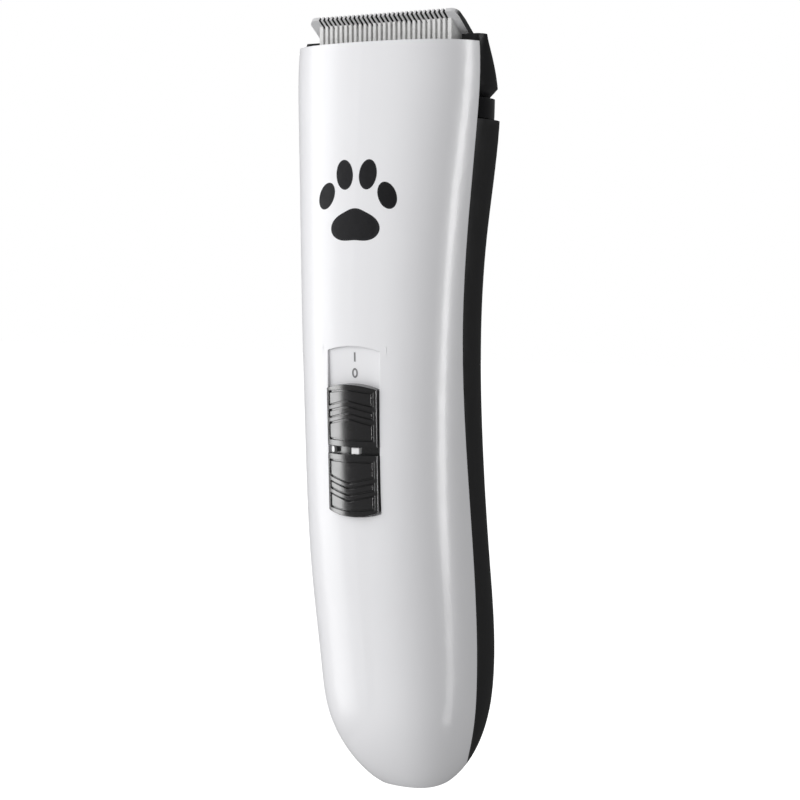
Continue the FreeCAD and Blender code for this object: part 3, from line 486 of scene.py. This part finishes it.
class CLIPPER_OT_stage(bpy.types.Operator):
    """Set the floor, the lights and the camera"""
    bl_idname = "clipper.stage"
    bl_label = "Set the stage"

    def execute(self, context):
        scene = context.scene
        paper = Finish("floor_paper").set(Roughness=0.85)
        paper.shade(paper.noise(0.25), tuple(colours().floor), 0.01)
        paper.set(Emission_Color=(1.0, 1.0, 1.0), Emission_Strength=0.75)
        sheet("floor", FLOOR_REACH, LOW.z - FLOOR_DROP, paper.material)
        world = bpy.data.worlds.new("studio")
        world.use_nodes = True
        sky = world.node_tree
        glow = sky.nodes["Background"]
        glow.inputs["Color"].default_value = (1.0, 1.0, 1.0, 1.0)
        rays = sky.nodes.new("ShaderNodeLightPath")
        seen = sky.nodes.new("ShaderNodeMapRange")
        seen.inputs["To Min"].default_value = FILL
        seen.inputs["To Max"].default_value = 1.0
        sky.links.new(rays.outputs["Is Camera Ray"], seen.inputs["Value"])
        dim = sky.nodes.new("ShaderNodeMath")
        dim.operation = "MULTIPLY_ADD"
        dim.inputs[1].default_value = FILL_IN_REFLECTIONS - FILL
        sky.links.new(rays.outputs["Is Glossy Ray"], dim.inputs[0])
        sky.links.new(seen.outputs["Result"], dim.inputs[2])
        sky.links.new(dim.outputs["Value"], glow.inputs["Strength"])
        scene.world = world
        aim = (0.0, -0.02, MIDDLE.z)
        key = soft_light("key_box", (-0.49, -0.755, 0.14), aim, 1.2, 1.6, 9.0)
        key.visible_glossy = False
        for name, place, wide, power in (("left_card", (-0.70, -0.39, 0.10), 0.42, 5.2),
                                         ("crease_card", (0.65, 0.115, 0.10), 0.18, 8.0)):
            soft_light(name, place, aim, wide, 1.2, power).visible_diffuse = False
        sight = sizes()
        turn, rise, far = sight.camera_turn, sight.camera_rise, sight.camera_distance
        back = Vector((math.sin(turn) * math.cos(rise), -math.cos(turn) * math.cos(rise), math.sin(rise)))
        data = bpy.data.cameras.new("camera")
        data.lens = sight.camera_lens
        data.clip_start = 0.01
        camera = bpy.data.objects.new("camera", data)
        scene.collection.objects.link(camera)
        facing = back.to_track_quat("Z", "Y").to_matrix().to_4x4()
        camera.matrix_world = Matrix.Translation(CAMERA_TARGET + back * far) @ facing
        scene.camera = camera
        scene.view_settings.view_transform = "Standard"
        return {"FINISHED"}


class CLIPPER_PT_panel(bpy.types.Panel):
    """The clipper's steps in the sidebar"""
    bl_label = "Pet clipper"
    bl_idname = "CLIPPER_PT_panel"
    bl_space_type = "VIEW_3D"
    bl_region_type = "UI"
    bl_category = "Clipper"

    def draw(self, context):
        for step in STEPS:
            self.layout.operator(step.bl_idname)
        for group in (context.scene.clipper_colours, context.scene.clipper_sizes):
            for key in group.__annotations__:
                self.layout.prop(group, key)


STEPS = (CLIPPER_OT_finishes, CLIPPER_OT_paw, CLIPPER_OT_marks, CLIPPER_OT_stage)
CLASSES = (ClipperColours, ClipperSizes) + STEPS + (CLIPPER_PT_panel,)


def register():
    """Register the classes and the scene's settings."""
    for item in CLASSES:
        bpy.utils.register_class(item)
    bpy.types.Scene.clipper_colours = PointerProperty(type=ClipperColours)
    bpy.types.Scene.clipper_sizes = PointerProperty(type=ClipperSizes)


def unregister():
    """Take the classes and settings away again."""
    del bpy.types.Scene.clipper_sizes
    del bpy.types.Scene.clipper_colours
    for item in reversed(CLASSES):
        bpy.utils.unregister_class(item)


def main():
    """Run every step in order."""
    register()
    for step in STEPS:
        group, name = step.bl_idname.split(".")
        getattr(getattr(bpy.ops, group), name)()


if __name__ == "__main__":
    main()
